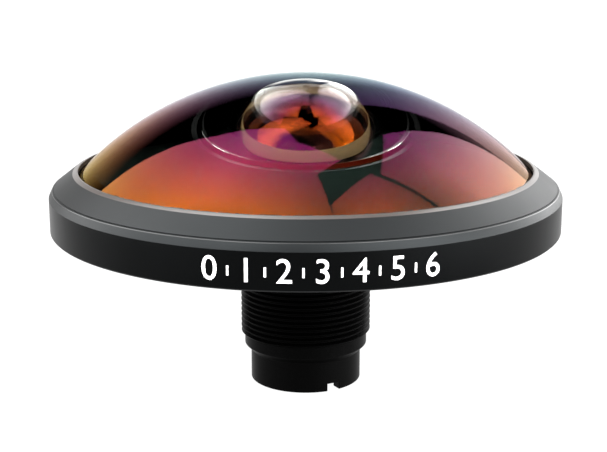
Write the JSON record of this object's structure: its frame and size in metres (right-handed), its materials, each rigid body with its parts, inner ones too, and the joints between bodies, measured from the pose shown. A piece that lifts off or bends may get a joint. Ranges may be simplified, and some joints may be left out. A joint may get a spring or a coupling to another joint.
{
  "type": "fisheye lens",
  "caption": "Fisheye lens with a deep coated glass dome in a black screwed ring, on a slim M12 threaded barrel that ends in a notched spigot.",
  "frame": {"origin": "centre of the barrel's rear end face, on the optical axis", "axes": "+Z along the optical axis from the rear end to the dome; the picture looks along +Y, with +X to the right"},
  "size_m": [0.046, 0.046, 0.0282],
  "materials": {
    "ring_black": "satin black anodised",
    "cell_black": "matte black anodised",
    "barrel_black": "matte black anodised",
    "inner_black": "matte black anodised",
    "stop_black": "dull black",
    "dome_glass": "polished and coated against reflections",
    "inner_glass": "polished and coated against reflections",
    "filter_glass": "polished, with a layer that cuts infrared light",
    "seal_rubber": "moulded black rubber"
  },
  "bodies": {
    "lens_body": {"front_dome": "dome_glass", "dome_seal": "seal_rubber", "front_cell": "cell_black", "lens_barrel": "barrel_black", "second_lens": "inner_glass", "second_lens_retainer": "inner_black", "front_spacer": "inner_black", "third_lens": "inner_glass", "middle_spacer": "inner_black", "fourth_lens": "inner_glass", "upper_stop_spacer": "inner_black", "aperture_stop": "stop_black", "lower_stop_spacer": "inner_black", "doublet_front_lens": "inner_glass", "doublet_rear_lens": "inner_glass", "rear_lens": "inner_glass", "rear_spacer": "inner_black", "infrared_filter": "filter_glass", "rear_retaining_ring": "inner_black"},
    "gasket": {"front_gasket": "seal_rubber"},
    "ring": {"front_ring": "ring_black"}
  },
  "joints": [
    {"name": "ring_lift", "type": "slide", "parent": "lens_body", "child": "gasket", "axis": [0, 0, 1], "range_m": [0, 0.002]},
    {"name": "ring_turn", "type": "hinge", "parent": "gasket", "child": "ring", "pos_m": [0, 0, 0.0165], "axis": [0, 0, 1], "range_deg": [0, 1440]}
  ],
  "couplings": [
    {"joint": "ring_lift", "follows": "ring_turn", "m_per_rad": 0.000079577}
  ]
}
